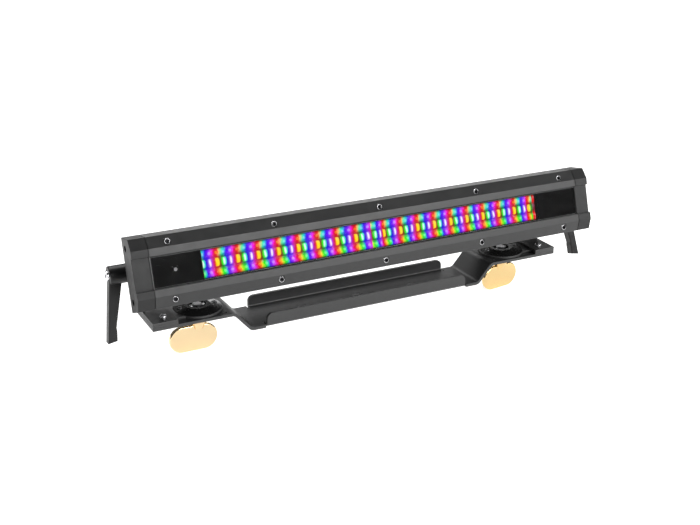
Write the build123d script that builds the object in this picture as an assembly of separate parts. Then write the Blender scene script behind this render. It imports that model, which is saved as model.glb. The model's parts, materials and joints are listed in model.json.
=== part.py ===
"""LED strip batten: a tilting light bar in a two-arm yoke, held by quick locks on an omega bracket.

Millimetres. The origin is the centre of the clamp hole at the underside of the bracket's floor.
+X runs along the bar, +Y to the back and +Z up. The light leaves towards -Y.
Pieces of the light head are drawn level, with the tilt axis on the X axis, and tilted at the end.
"""
import os
from math import cos, radians, sin, tan

from build123d import *

# Light head
BAR_LENGTH = 500.0
END_CAP_LENGTH = 15.5
GASKET = 0.7
GASKET_INSET = 0.6
FACE_HEIGHT = 65.0
FACE_DISTANCE = 54.0          # tilt axis to the front lands
PROFILE_DEPTH = 26.0
PROFILE_FLARE = 2.1           # the extrusion grows this much taller, above and below, towards its back
BEVEL_DEPTH = 5.2
CREASE_Z = 21.9               # where the bevels meet the flat lands
LAND_Z = 14.9                 # where the flat lands meet the window recess
RECESS = 2.7
CHANNEL_Z = 18.2
PROFILE_FLOOR = 3.0
CREASE_RADIUS = 0.6
LAND_RADIUS = 0.4
WINDOW_THICKNESS = 2.0
FRONT_SCREW_X = (-215.2, -111.6, 0.0, 111.6, 215.2)
FRONT_SCREW_Z = 26.2
END_SCREW_Z = 24.3
END_SCREW_Y = -37.2

# Pixels
LIT_LENGTH = 370.0
PIXEL_COLUMNS = 56
PIXEL_ROWS = 3
ROW_PITCH = 8.8

# Rear housing
HOUSING_LENGTH = 438.0
HOUSING_HEIGHT = 44.0
HOUSING_BACK = 25.0
HOUSING_WALL = 2.0
FLANGE = 2.5
FLANGE_HEIGHT = 60.0
END_PLATE = 4.0
END_PLATE_SCREWS = [(y, z) for y in (-20.0, 18.5) for z in (-17.6, 17.6)]
MAINS_X = (-196.0, -158.0)
DATA_X = (158.0, 196.0)
PANEL_BACK = HOUSING_BACK + 1.6
CAVITY_FLOOR_Y = 12.0
BUTTON_X = {"menu_button": 4.0, "down_button": 15.0, "up_button": 26.0, "enter_button": 37.0}
BUTTON_R = 3.5

# Tilt
FACE_TILT = 17.05
PIVOT_Z = 71.4

# Omega bracket and yoke feet
SHEET = 3.0
BRACKET_DEPTH = 52.0
FLOOR_HALF = 129.8
RAMP_TOP_HALF = 146.4
FLAT_END = 228.7
RISE = 18.9
BEND = 5.0
SHEET_EDGE = 0.4
LIP_BEND = 1.5
LIP_HEIGHT = 14.4
LIP_HALF = 114.0
FOOT_SHEET = 2.5
TAB_START = 204.0
CLAMP_HOLE_R = 6.5
SIDE_HOLE_R = 5.25
SIDE_HOLE_X = 64.0
PILOT_HOLE_R = 1.75
PILOT_X = 154.7
PILOT_Y = 20.4

# Quick locks
LOCK_X = 176.0
STUD_R = 5.0
STUD_FOOT_Z = 8.0
TANG_R = 1.6
TANG_END_Z = -4.0
SOCKET_R = 24.5
PADDLE_WIDTH = 49.0
PADDLE_HEIGHT = 27.0
PADDLE_THICKNESS = 5.0
PADDLE_TOP = 6.3
PADDLE_OFFSET = {"left": 5.5, "right": 0.0}   # outboard of the stud
LOCK_TURN = {"left": 0.0, "right": 9.4}       # degrees at rest, short of the stop

# Clamping levers
LEVER_HUB_R = 8.9
LEVER_HUB_END = 260.0
LEVER_REACH = 64.5
LEVER_SPLAY = 6.2
LEVER_SWING = {"left": 5.0, "right": 16.3}
THREAD_R = 4.0

RUNNING = 0.05
GAP = 0.3

FRONT_Y = -FACE_DISTANCE
PROFILE_BACK_Y = FRONT_Y + PROFILE_DEPTH
WINDOW_Y = FRONT_Y + RECESS
FLAT_TOP = RISE + SHEET
FOOT_TOP = FLAT_TOP + FOOT_SHEET
TAB_TOP = FOOT_TOP + FOOT_SHEET
PROFILE_HALF = BAR_LENGTH / 2 - END_CAP_LENGTH - GASKET
HOUSING_HALF = HOUSING_LENGTH / 2
PLATE_FACE_X = HOUSING_HALF + END_PLATE
ARM_INNER_X = FLAT_END - FOOT_SHEET


def block(x0, x1, y0, y1, z0, z1):
    """A box between two opposite corners."""
    return Pos((x0 + x1) / 2, (y0 + y1) / 2, (z0 + z1) / 2) * Box(x1 - x0, y1 - y0, z1 - z0)


def rod_x(x0, x1, y, z, radius):
    return Pos((x0 + x1) / 2, y, z) * Rot(Y=90) * Cylinder(radius, x1 - x0)


def rod_y(x, y0, y1, z, radius):
    return Pos(x, (y0 + y1) / 2, z) * Rot(X=90) * Cylinder(radius, y1 - y0)


def rod_z(x, y, z0, z1, radius):
    return Pos(x, y, (z0 + z1) / 2) * Cylinder(radius, z1 - z0)


def cone_z(x, y, z0, z1, radius0, radius1):
    return Pos(x, y, (z0 + z1) / 2) * Cone(radius0, radius1, z1 - z0)


def along_x(points, x0, x1):
    """A prism along X whose section is an outline of (y, z) points."""
    section = make_face(Polyline(*[(x0, y, z) for y, z in points], close=True))
    return extrude(section, amount=x1 - x0, dir=(1, 0, 0))


def mirrored(side, shape):
    """Pieces are drawn for the right end; the left end is their mirror image."""
    return shape if side == "right" else mirror(shape, about=Plane.YZ)


def tilted(shape):
    """Turn a piece of the head to its rest tilt and lift it to the tilt axis."""
    return Pos(0, 0, PIVOT_Z) * Rot(X=-FACE_TILT) * shape


def spring_z(x, y, z0, z1, mean_radius, wire_radius, turns):
    """A coil spring along Z that just fits between z0 and z1."""
    height = z1 - z0 - 2 * wire_radius
    path = Helix(pitch=height / turns, height=height, radius=mean_radius)
    wire = Plane(origin=path @ 0, z_dir=path % 0) * Circle(wire_radius)
    return Pos(x, y, z0 + wire_radius) * sweep(wire, path=path, is_frenet=True)


def socket_screw(head_radius, head_height, shank_radius, shank_length, socket_radius, socket_depth):
    """A socket-head screw along Z: the head's underside is at z = 0 and its shank points down."""
    head = rod_z(0, 0, 0, head_height, head_radius)
    head = fillet(head.edges().sort_by(Axis.Z)[-1], head_radius * 0.16)
    key = extrude(RegularPolygon(socket_radius, 6), amount=socket_depth)
    lead = cone_z(0, 0, head_height - 0.6, head_height + 0.1, socket_radius - 0.1, socket_radius + 0.6)
    shank = rod_z(0, 0, -shank_length, 0, shank_radius)
    return head + shank - Pos(0, 0, head_height - socket_depth) * key - lead


def cross_screw(head_radius, head_height, shank_radius, shank_length):
    """A pan-head screw with a cross recess, its head's underside at z = 0 and its shank down."""
    slot_width = head_radius * 0.32
    slot_length = head_radius * 1.2
    slot_depth = head_height * 0.6
    head = rod_z(0, 0, 0, head_height, head_radius)
    head = fillet(head.edges().sort_by(Axis.Z)[-1], head_height * 0.55)
    slots = Box(slot_length, slot_width, slot_depth) + Box(slot_width, slot_length, slot_depth)
    shank = rod_z(0, 0, -shank_length, 0, shank_radius)
    return head + shank - Pos(0, 0, head_height - slot_depth / 2) * slots


# ---------------------------------------------------------------- omega bracket and yoke

def omega_bracket():
    """Bent sheet: a floor with two lips, two ramps, and two raised flats for the quick locks."""
    shift = SHEET * tan(radians(24.35))
    under = [(FLAT_END, RISE), (RAMP_TOP_HALF + shift, RISE), (FLOOR_HALF + shift, 0)]
    over = [(FLOOR_HALF, SHEET), (RAMP_TOP_HALF, FLAT_TOP), (FLAT_END, FLAT_TOP)]
    half = under + [(-x, z) for x, z in reversed(under)] + [(-x, z) for x, z in reversed(over)] + over
    outline = make_face(Polyline(*[(x, 0, z) for x, z in half], close=True))
    sheet = extrude(outline, amount=BRACKET_DEPTH, dir=(0, 1, 0))
    sheet = Pos(0, -BRACKET_DEPTH / 2, 0) * sheet
    outer_corners = [(FLOOR_HALF + shift, 0), (RAMP_TOP_HALF, FLAT_TOP)]
    inner_corners = [(FLOOR_HALF, SHEET), (RAMP_TOP_HALF + shift, RISE)]
    for corners, radius in ((outer_corners, BEND + SHEET), (inner_corners, BEND)):
        for corner in corners:
            sheet = fillet(edges_at(sheet, corner), radius)
    for face in (sheet.faces().sort_by(Axis.Y)[0], sheet.faces().sort_by(Axis.Y)[-1]):
        sheet = fillet(face.outer_wire().edges(), SHEET_EDGE)
    for face_sign in (-1, 1):
        sheet = bent_lip(sheet, face_sign)
    for x, radius in ((0, CLAMP_HOLE_R), (SIDE_HOLE_X, SIDE_HOLE_R), (-SIDE_HOLE_X, SIDE_HOLE_R)):
        sheet -= rod_z(x, 0, -1, SHEET + 1, radius)
    for side in (-1, 1):
        sheet -= rod_z(side * LOCK_X, 0, RISE - 1, FLAT_TOP + 1, STUD_R + RUNNING)
        for y in (-PILOT_Y, PILOT_Y):
            sheet -= rod_z(side * PILOT_X, y, RISE - 1, FLAT_TOP + 1, PILOT_HOLE_R)
    return sheet


def edges_at(sheet, corner):
    """The two edges along Y whose distance from the middle and height are the corner's."""
    x, z = corner
    edges = sheet.edges().filter_by(Axis.Y)
    return [e for e in edges if abs(abs(e.center().X) - x) < 0.1 and abs(e.center().Z - z) < 0.1]


def bent_lip(sheet, face_sign):
    """Add one up-turned lip with rounded ends; face_sign is -1 at the front and 1 at the back."""
    edge_y = face_sign * BRACKET_DEPTH / 2
    root_y = edge_y - face_sign * 8.0
    inner_y = edge_y - face_sign * SHEET
    relief = 1.5
    low_y, high_y = sorted((edge_y + face_sign, root_y))
    sheet -= block(-LIP_HALF - relief, LIP_HALF + relief, low_y, high_y, -1, SHEET + 1)
    section = [(root_y, 0), (edge_y, 0), (edge_y, LIP_HEIGHT), (inner_y, LIP_HEIGHT), (inner_y, SHEET),
               (root_y, SHEET)]
    lip = along_x(section, -LIP_HALF, LIP_HALF)
    outer = [e for e in lip.edges().filter_by(Axis.X)
             if abs(e.center().Y - edge_y) < 0.1 and abs(e.center().Z) < 0.1]
    lip = fillet(outer, LIP_BEND + SHEET)
    inner = [e for e in lip.edges().filter_by(Axis.X)
             if abs(e.center().Y - inner_y) < 0.1 and abs(e.center().Z - SHEET) < 0.1]
    lip = fillet(inner, LIP_BEND)
    ends = [e for e in lip.edges().filter_by(Axis.Y) if abs(e.center().Z - LIP_HEIGHT) < 0.1]
    lip = fillet(ends, 6.0)
    return sheet + lip


def softened_sheet(plate):
    """Round the outer edges of a flat plate, top and bottom."""
    faces = plate.faces().sort_by(Axis.Z)
    return fillet(faces[0].outer_wire().edges() + faces[-1].outer_wire().edges(), SHEET_EDGE)


def foot_plate(side):
    """Lower foot: a rectangle at the end, a neck and a round nose with the key slot of the lock."""
    half_depth = BRACKET_DEPTH / 2
    neck = 17.0
    plate = block(TAB_START, FLAT_END, -half_depth, half_depth, FLAT_TOP, FOOT_TOP)
    plate += block(LOCK_X, TAB_START, -neck, neck, FLAT_TOP, FOOT_TOP)
    plate += rod_z(LOCK_X, 0, FLAT_TOP, FOOT_TOP, SOCKET_R)
    plate = softened_sheet(plate)
    plate -= rod_z(LOCK_X, 0, FLAT_TOP - 1, FOOT_TOP + 1, STUD_R + 0.6)
    plate -= block(LOCK_X - 1.9, LOCK_X + 1.9, -8.2, 8.2, FLAT_TOP - 1, FOOT_TOP + 1)
    for y in (-15.0, 15.0):
        plate -= rod_z(215.0, y, FLAT_TOP - 1, FOOT_TOP + 1, 1.6)
    for offset in (-17.5, 17.5):
        plate -= rod_z(LOCK_X + offset, 0, FLAT_TOP - 1, FOOT_TOP + 1, 1.3)
    return mirrored(side, plate)


def yoke_arm(side):
    """Upper foot tab and the arm that rises from its back half to the tilt axis."""
    half_depth = BRACKET_DEPTH / 2
    tab = softened_sheet(block(TAB_START, FLAT_END, -half_depth, half_depth, FOOT_TOP, TAB_TOP))
    web = along_x([(5.0, FOOT_TOP), (half_depth, FOOT_TOP), (half_depth, 46.0), (14.0, PIVOT_Z),
                   (-14.0, PIVOT_Z), (-14.0, 46.0), (3.0, 31.0), (5.0, 29.0)], ARM_INNER_X, FLAT_END)
    head = rod_x(ARM_INNER_X, FLAT_END, 0, PIVOT_Z, 14.0)
    corners = [e for e in web.edges().filter_by(Axis.X) if 45.0 < e.center().Z < 47.0]
    web = fillet(corners, 9.0)
    arm = tab + web + head
    arm -= rod_x(ARM_INNER_X - 1, FLAT_END + 1, 0, PIVOT_Z, THREAD_R + RUNNING)
    for y in (-15.0, 15.0):
        arm -= rod_z(215.0, y, FOOT_TOP - 1, TAB_TOP + 1, 1.75)
    return mirrored(side, arm)


def foot_screws():
    screw = cross_screw(3.4, 2.2, 1.55, TAB_TOP - FLAT_TOP)
    return [Pos(sx * 215.0, y, TAB_TOP) * Rot(Z=20) * screw for sx in (-1, 1) for y in (-15.0, 15.0)]


def lock_socket(side):
    """Conical cover of the quick lock on the foot plate, open over the stud's cross pin."""
    top = FOOT_TOP + 3.0
    cover = cone_z(LOCK_X, 0, FOOT_TOP, top, SOCKET_R - 1.0, 12.5)
    cover -= rod_z(LOCK_X, 0, FOOT_TOP - 1, top + 1, 8.6)
    for offset in (-17.5, 17.5):
        cover -= rod_z(LOCK_X + offset, 0, FOOT_TOP - 1, top, 1.3)
        cover -= rod_z(LOCK_X + offset, 0, FOOT_TOP + 1.0, top + 1, 2.8)
    return mirrored(side, cover)


def lock_socket_screws():
    screw = cross_screw(2.6, 1.4, 1.25, 1.0 + FOOT_SHEET)
    places = [sx * (LOCK_X + offset) for sx in (-1, 1) for offset in (-17.5, 17.5)]
    return [Pos(x, 0, FOOT_TOP + 1.0) * Rot(Z=35) * screw for x in places]


# ---------------------------------------------------------------- quick locks

def turned_lock(side, shape):
    """Turn a lock piece about its stud to where the lock rests."""
    return Pos(LOCK_X, 0, 0) * Rot(Z=LOCK_TURN[side]) * Pos(-LOCK_X, 0, 0) * shape


def wing_toggle(side):
    """Wing paddle with a conical cup that holds the lock spring."""
    paddle = SlotOverall(PADDLE_WIDTH, PADDLE_HEIGHT)
    paddle = extrude(Plane.XZ * paddle, amount=PADDLE_THICKNESS / 2, both=True)
    rims = [e for e in paddle.edges() if abs(abs(e.center().Y) - PADDLE_THICKNESS / 2) < 0.01]
    paddle = fillet(rims, 1.6)
    paddle = Pos(LOCK_X + PADDLE_OFFSET[side], 0, PADDLE_TOP - PADDLE_HEIGHT / 2) * paddle
    neck = cone_z(LOCK_X, 0, PADDLE_TOP - 4.0, 10.5, 5.0, 8.5)
    cup = cone_z(LOCK_X, 0, 10.5, RISE - GAP, 8.5, 12.5)
    toggle = paddle + neck + cup
    toggle -= rod_z(LOCK_X, 0, 12.0, RISE, 8.2)
    toggle -= rod_z(LOCK_X, 0, STUD_FOOT_Z, RISE, STUD_R)
    toggle -= rod_z(LOCK_X, 0, TANG_END_Z, RISE, TANG_R)
    return mirrored(side, turned_lock(side, toggle))


def lock_stud(side):
    """Steel stud with a thin tang in the wing, and the cross pin that locks over the foot plate."""
    pin_r = 1.2
    pin_z = FOOT_TOP + GAP + pin_r
    stud = rod_z(LOCK_X, 0, STUD_FOOT_Z, pin_z + 1.9, STUD_R)
    stud = chamfer(stud.edges().sort_by(Axis.Z)[-1], 0.8)
    stud += rod_z(LOCK_X, 0, TANG_END_Z, STUD_FOOT_Z, TANG_R)
    stud += rod_x(LOCK_X - 7.5, LOCK_X + 7.5, 0, pin_z, pin_r)
    return mirrored(side, turned_lock(side, stud))


def lock_spring(side):
    return mirrored(side, spring_z(LOCK_X, 0, 12.1, RISE - GAP, 6.7, 0.7, 3.0))


# ---------------------------------------------------------------- light head, front

def front_outline(back_y):
    """Outline of the front extrusion: bevels, flat lands and window recess, closed at back_y."""
    half = FACE_HEIGHT / 2
    upper = [(back_y, half + PROFILE_FLARE), (FRONT_Y + BEVEL_DEPTH, half), (FRONT_Y, CREASE_Z),
             (FRONT_Y, LAND_Z), (WINDOW_Y, LAND_Z)]
    return upper + [(y, -z) for y, z in reversed(upper)]


def softened(bar):
    """Round the long edges of the front outline: outer corners, creases and land edges."""
    half = FACE_HEIGHT / 2
    rounded = ((half + PROFILE_FLARE, 0.7), (half, 0.7), (CREASE_Z, CREASE_RADIUS), (LAND_Z, LAND_RADIUS))
    for height, radius in rounded:
        edges = [e for e in bar.edges().filter_by(Axis.X)
                 if abs(abs(e.center().Z) - height) < 0.1 and abs(e.center().Y - WINDOW_Y) > 0.1]
        bar = fillet(edges, radius)
    return bar


def front_profile():
    """Long aluminium extrusion: window slot, board channel, four hollow chambers and screw holes."""
    profile = softened(along_x(front_outline(PROFILE_BACK_Y), -PROFILE_HALF, PROFILE_HALF))
    long = PROFILE_HALF + 1
    profile -= block(-long, long, WINDOW_Y, PROFILE_BACK_Y - PROFILE_FLOOR, -CHANNEL_Z, CHANNEL_Z)
    profile -= block(-long, long, FRONT_Y - 1, WINDOW_Y + 1, -LAND_Z, LAND_Z)
    for z0, z1 in ((20.6, 29.8), (-29.8, -20.6)):
        profile -= block(-long, long, -46.0, -41.2, z0, z1)
        profile -= block(-long, long, -33.2, -30.2, z0, z1)
    for z in (-FRONT_SCREW_Z, FRONT_SCREW_Z):
        for x in FRONT_SCREW_X:
            profile -= rod_y(x, FRONT_Y - 1, PROFILE_BACK_Y + 1, z, 1.6)
            profile -= rod_y(x, FRONT_Y - 1, FRONT_Y + 5.2, z, 3.1)
    for z in (-END_SCREW_Z, END_SCREW_Z):
        profile -= rod_x(-long, -PROFILE_HALF + 12, END_SCREW_Y, z, 1.5)
        profile -= rod_x(PROFILE_HALF - 12, long, END_SCREW_Y, z, 1.5)
    profile -= block(-12.0, 12.0, PROFILE_BACK_Y - PROFILE_FLOOR - 1, PROFILE_BACK_Y + 1, -4.0, 4.0)
    return profile


def front_screws(sign):
    """Five hex-socket screws down one bevel, through the extrusion into the rear housing's flange."""
    head_y = FRONT_Y + 5.2
    screw = socket_screw(2.75, 3.0, 1.5, PROFILE_BACK_Y + FLANGE + 3.0 - head_y, 1.45, 2.2)
    return [Pos(x, head_y, sign * FRONT_SCREW_Z) * Rot(X=90) * screw for x in FRONT_SCREW_X]


def end_cap(side):
    """Cast cap with the extrusion's outline, hollow inside, with two counterbored screw holes."""
    start = PROFILE_HALF + GASKET
    end = BAR_LENGTH / 2
    wall = 2.5
    cap = softened(along_x(front_outline(PROFILE_BACK_Y), start, end))
    cap = fillet(cap.faces().sort_by(Axis.X)[-1].outer_wire().edges(), 0.35)
    cap -= block(start - 1, end - wall - 2.0, WINDOW_Y + wall, PROFILE_BACK_Y - wall, -CHANNEL_Z, CHANNEL_Z)
    for z in (-END_SCREW_Z, END_SCREW_Z):
        cap -= rod_x(start - 1, end + 1, END_SCREW_Y, z, 1.7)
        cap -= rod_x(end - 5.0, end + 1, END_SCREW_Y, z, 3.0)
    return mirrored(side, cap)


def end_gaskets():
    """Thin seals between the extrusion and its end caps, set in slightly from the outline."""
    inset = GASKET_INSET
    outline = [(y + inset if y < -40.0 else y - inset, z - inset if z > 0 else z + inset)
               for y, z in front_outline(PROFILE_BACK_Y)]
    seal = along_x(outline, PROFILE_HALF, PROFILE_HALF + GASKET)
    inner_back = PROFILE_BACK_Y - PROFILE_FLOOR
    seal -= block(PROFILE_HALF - 1, PROFILE_HALF + 1, -46.0, inner_back, -CHANNEL_Z, CHANNEL_Z)
    for z in (-END_SCREW_Z, END_SCREW_Z):
        seal -= rod_x(PROFILE_HALF - 1, PROFILE_HALF + 1, END_SCREW_Y, z, 1.7)
    return [seal, mirror(seal, about=Plane.YZ)]


def end_cap_screws():
    end = BAR_LENGTH / 2
    screw = socket_screw(2.75, 3.0, 1.45, 20.0, 1.45, 2.2)
    right = [Pos(end - 5.0, END_SCREW_Y, z) * Rot(Y=90) * screw for z in (-END_SCREW_Z, END_SCREW_Z)]
    return right + [mirror(s, about=Plane.YZ) for s in right]


def window_cover():
    """Clear cover that slides in behind the lands."""
    length = PROFILE_HALF - 0.2
    return block(-length, length, WINDOW_Y, WINDOW_Y + WINDOW_THICKNESS, -CHANNEL_Z + 0.2, CHANNEL_Z - 0.2)


def window_masks():
    """Black blanking plates behind the window at both ends; the left one has the receiver's hole."""
    front = WINDOW_Y + WINDOW_THICKNESS
    start = LIT_LENGTH / 2 + 0.5
    right = block(start, PROFILE_HALF - 0.5, front, front + 1.5, -17.5, 17.5)
    left = mirror(right, about=Plane.YZ) - rod_y(-210.7, front - 1, front + 3, 0, 1.7)
    return [left, right]


def remote_sensor():
    """Infrared receiver: a domed eye in the mask on a small moulded body."""
    front = WINDOW_Y + WINDOW_THICKNESS
    body = block(-213.7, -207.7, front + 1.5, front + 5.5, -3.5, 3.5)
    return body + rod_y(-210.7, front + 0.2, front + 1.5, 0, 1.6)


def lens_array():
    """Clear plate with one shallow lens for each pixel."""
    back = WINDOW_Y + WINDOW_THICKNESS + 3.4
    half = LIT_LENGTH / 2
    height = PIXEL_ROWS * ROW_PITCH / 2
    plate = block(-half, half, back - 1.6, back, -height, height)
    pitch = LIT_LENGTH / PIXEL_COLUMNS
    for row in range(PIXEL_ROWS):
        z = (row - (PIXEL_ROWS - 1) / 2) * ROW_PITCH
        ridge = [(back - 1.6, z - 4.1), (back - 2.6, z - 2.2), (back - 2.9, z), (back - 2.6, z + 2.2),
                 (back - 1.6, z + 4.1)]
        plate += along_x(ridge, -half + pitch / 4, half - pitch / 4)
    return plate


def led_emitters():
    """One small package for each pixel, on the faces of the two boards."""
    pitch = LIT_LENGTH / PIXEL_COLUMNS
    front = PROFILE_BACK_Y - PROFILE_FLOOR - 4.0 - 1.6 - 1.0
    packages = []
    for row in range(PIXEL_ROWS):
        z = (row - (PIXEL_ROWS - 1) / 2) * ROW_PITCH
        for column in range(PIXEL_COLUMNS):
            x = -LIT_LENGTH / 2 + (column + 0.5) * pitch
            packages.append(block(x - 1.4, x + 1.4, front, front + 1.0, z - 1.4, z + 1.4))
    return packages


def led_board(side):
    back = PROFILE_BACK_Y - PROFILE_FLOOR - 4.0
    board = block(0.3, LIT_LENGTH / 2 + 2.0, back - 1.6, back, -15.0, 15.0)
    board -= rod_y(92.0, back - 2, back + 1, 13.5, 1.2)
    return mirrored(side, board)


def heat_spreader():
    """Aluminium bar between the light boards and the extrusion's back wall."""
    back = PROFILE_BACK_Y - PROFILE_FLOOR
    bar = block(-PROFILE_HALF + 8, PROFILE_HALF - 8, back - 4.0, back, -17.0, 17.0)
    return bar - block(-12.0, 12.0, back - 5, back + 1, -4.0, 4.0)


# ---------------------------------------------------------------- light head, rear

def rear_housing():
    """Finned extrusion behind the front one, with a flange for the front screws."""
    front = PROFILE_BACK_Y
    inner_front = front + FLANGE
    half = HOUSING_HALF
    top = HOUSING_HEIGHT / 2
    body = block(-half, half, inner_front - 0.5, HOUSING_BACK, -top, top)
    body = fillet([e for e in body.edges().filter_by(Axis.X) if e.center().Y > HOUSING_BACK - 1], 4.0)
    body += block(-half, half, front, inner_front, -FLANGE_HEIGHT / 2, FLANGE_HEIGHT / 2)
    for fin in range(6):
        y = -18.0 + fin * 6.4
        body += block(-half, half, y - 0.8, y + 0.8, -top - 3.0, top + 3.0)
    long = half + 1
    inner_top = top - HOUSING_WALL
    body -= block(-long, long, inner_front, HOUSING_BACK - HOUSING_WALL, -inner_top, inner_top)
    for y, z in END_PLATE_SCREWS:
        body += rod_x(-half, half, y, z, 3.2)
        body -= rod_x(-long, -half + 10, y, z, 1.3)
        body -= rod_x(half - 10, long, y, z, 1.3)
    for z in (-FRONT_SCREW_Z, FRONT_SCREW_Z):
        for x in FRONT_SCREW_X:
            body -= rod_y(x, front - 1, inner_front + 1, z, 1.5)
    body -= block(-12.0, 12.0, front - 1, inner_front + 1, -4.0, 4.0)
    body -= block(-46.0, 46.0, HOUSING_BACK - HOUSING_WALL - 1, HOUSING_BACK + 1, -12.5, 12.5)
    for x in MAINS_X:
        body -= block(x - 13.5, x + 13.5, HOUSING_BACK - 5, HOUSING_BACK + 1, -9.5, 9.5)
    for x in DATA_X:
        body -= rod_y(x, HOUSING_BACK - 5, HOUSING_BACK + 1, 0, 11.0)
    return body


def rear_end_plate(side):
    """Plate that closes the rear housing and carries the threaded pivot bush."""
    top = HOUSING_HEIGHT / 2
    plate = block(HOUSING_HALF, PLATE_FACE_X, PROFILE_BACK_Y + FLANGE, HOUSING_BACK, -top, top)
    plate = fillet(plate.edges().filter_by(Axis.X), 4.0)
    plate -= rod_x(HOUSING_HALF - 1, PLATE_FACE_X + 1, 0, 0, 7.0)
    for y, z in END_PLATE_SCREWS:
        plate -= rod_x(HOUSING_HALF - 1, PLATE_FACE_X + 1, y, z, 1.6)
        plate -= rod_x(PLATE_FACE_X - 2.0, PLATE_FACE_X + 1, y, z, 2.9)
    return mirrored(side, plate)


def end_plate_screws():
    screw = cross_screw(2.6, 1.6, 1.25, 10.0)
    right = [Pos(PLATE_FACE_X - 2.0, y, z) * Rot(Y=90) * screw for y, z in END_PLATE_SCREWS]
    return right + [mirror(s, about=Plane.YZ) for s in right]


def pivot_bushes():
    """Flanged steel bushes in the end plates, threaded for the clamping studs."""
    bush = rod_x(HOUSING_HALF - 9.0, PLATE_FACE_X, 0, 0, 7.0)
    bush += rod_x(HOUSING_HALF - 3.0, HOUSING_HALF, 0, 0, 9.0)
    bush -= rod_x(HOUSING_HALF - 10.0, PLATE_FACE_X + 1, 0, 0, THREAD_R + RUNNING)
    return [bush, mirror(bush, about=Plane.YZ)]


def friction_washers():
    """Fibre washers between the end plates and the yoke arms."""
    outer = ARM_INNER_X - GAP
    washer = rod_x(PLATE_FACE_X, outer, 0, 0, 12.0)
    washer -= rod_x(PLATE_FACE_X - 1, outer + 1, 0, 0, THREAD_R + RUNNING)
    return [washer, mirror(washer, about=Plane.YZ)]


def circuit_board(x0, x1, z):
    return block(x0, x1, -15.5, 14.0, z, z + 1.6)


def power_supply_board():
    """Mains supply: board, transformer, storage capacitors, filter coil and a cooling angle."""
    z = -18.0
    top = z + 1.6
    board = circuit_board(-140.0, -40.0, z)
    board += block(-100.0, -72.0, -12.0, 12.0, top, top + 20.0)
    for x in (-130.0, -114.0):
        board += rod_z(x, -6.0, top, top + 22.0, 6.0)
    board += rod_z(-122.0, 10.0, top, top + 12.0, 5.0)
    board += block(-62.0, -59.0, -13.0, 13.0, top, top + 18.0)
    return board


def led_driver_board():
    """Driver for the pixels: board, driver chips, coils and the socket of the light cable."""
    z = -18.0
    top = z + 1.6
    board = circuit_board(30.0, 140.0, z)
    for x in (60.0, 78.0, 96.0, 114.0):
        board += block(x - 5.0, x + 5.0, -10.0, 0.0, top, top + 1.8)
        board += block(x - 4.5, x + 4.5, 4.0, 13.0, top, top + 6.0)
    board += block(30.0, 36.0, -9.0, 9.0, top, top + 7.0)
    return board


def control_board():
    """Board behind the control panel, with four key switches."""
    board = block(-44.0, 44.0, 17.0, 18.6, -12.0, 12.0)
    for x in BUTTON_X.values():
        board += block(x - 3.0, x + 3.0, 18.6, 20.2, -3.0, 3.0)
        board += rod_y(x, 20.2, 21.0, 0, 1.6)
    return board


def control_panel():
    """Rear panel with a display opening and four button holes."""
    panel = block(-48.0, 48.0, HOUSING_BACK, PANEL_BACK, -15.0, 15.0)
    panel = fillet(panel.edges().filter_by(Axis.Y), 2.0)
    panel -= block(-40.0, -6.0, HOUSING_BACK - 1, PANEL_BACK + 1, -8.0, 8.0)
    for x in BUTTON_X.values():
        panel -= rod_y(x, HOUSING_BACK - 1, PANEL_BACK + 1, 0, BUTTON_R + GAP)
    return panel


def display():
    """Display module: glass in the panel's opening, on a wider carrier behind it."""
    glass = block(-39.8, -6.2, HOUSING_BACK, HOUSING_BACK + 1.0, -7.8, 7.8)
    return glass + block(-42.0, -4.0, 20.0, HOUSING_BACK, -10.0, 10.0)


def button(x):
    """Push button with an inner flange that keeps it behind the panel."""
    cap = rod_y(x, 22.4, PANEL_BACK + 1.2, 0, BUTTON_R)
    cap = fillet(cap.edges().sort_by(Axis.Y)[-1], 0.5)
    return cap + rod_y(x, 22.4, 23.4, 0, BUTTON_R + 0.9)


def mains_blades(x):
    """Places of the three mains contacts of a connector at x."""
    return ((x - 7.0, 0.0), (x, 3.0), (x + 7.0, 0.0))


def mains_socket(x, male):
    """Rectangular mains connector in the back wall: an inlet cavity or a slotted outlet."""
    flange_back = HOUSING_BACK + 2.5
    shell = block(x - 13.2, x + 13.2, 8.0, HOUSING_BACK, -9.2, 9.2)
    flange = block(x - 16.5, x + 16.5, HOUSING_BACK, flange_back, -12.5, 12.5)
    flange = fillet(flange.edges().filter_by(Axis.Y), 2.0)
    shell += fillet(flange.faces().sort_by(Axis.Y)[-1].edges(), 0.6)
    if male:
        shell -= block(x - 12.0, x + 12.0, CAVITY_FLOOR_Y, flange_back + 1, -8.0, 8.0)
    else:
        for blade_x, z in mains_blades(x):
            shell -= block(blade_x - 1.3, blade_x + 1.3, 14.0, flange_back + 1, z - 2.8, z + 2.8)
    for sx in (-1, 1):
        shell -= rod_y(x + sx * 14.8, HOUSING_BACK - 1, flange_back + 1, 0, 1.1)
    return shell


def power_inlet_blades():
    """Three plated blades that stand on the floor of the inlet's cavity."""
    blades = []
    for x, z in mains_blades(MAINS_X[0]):
        blade = block(x - 1.0, x + 1.0, CAVITY_FLOOR_Y, 20.5, z - 2.5, z + 2.5)
        blades.append(chamfer(blade.faces().sort_by(Axis.Y)[-1].edges(), 0.5))
    return blades


def data_poles(x):
    """Places of the three contacts of a data connector at x."""
    return [(x + 4.2 * cos(radians(a)), 4.2 * sin(radians(a))) for a in (90, 210, 330)]


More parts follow.
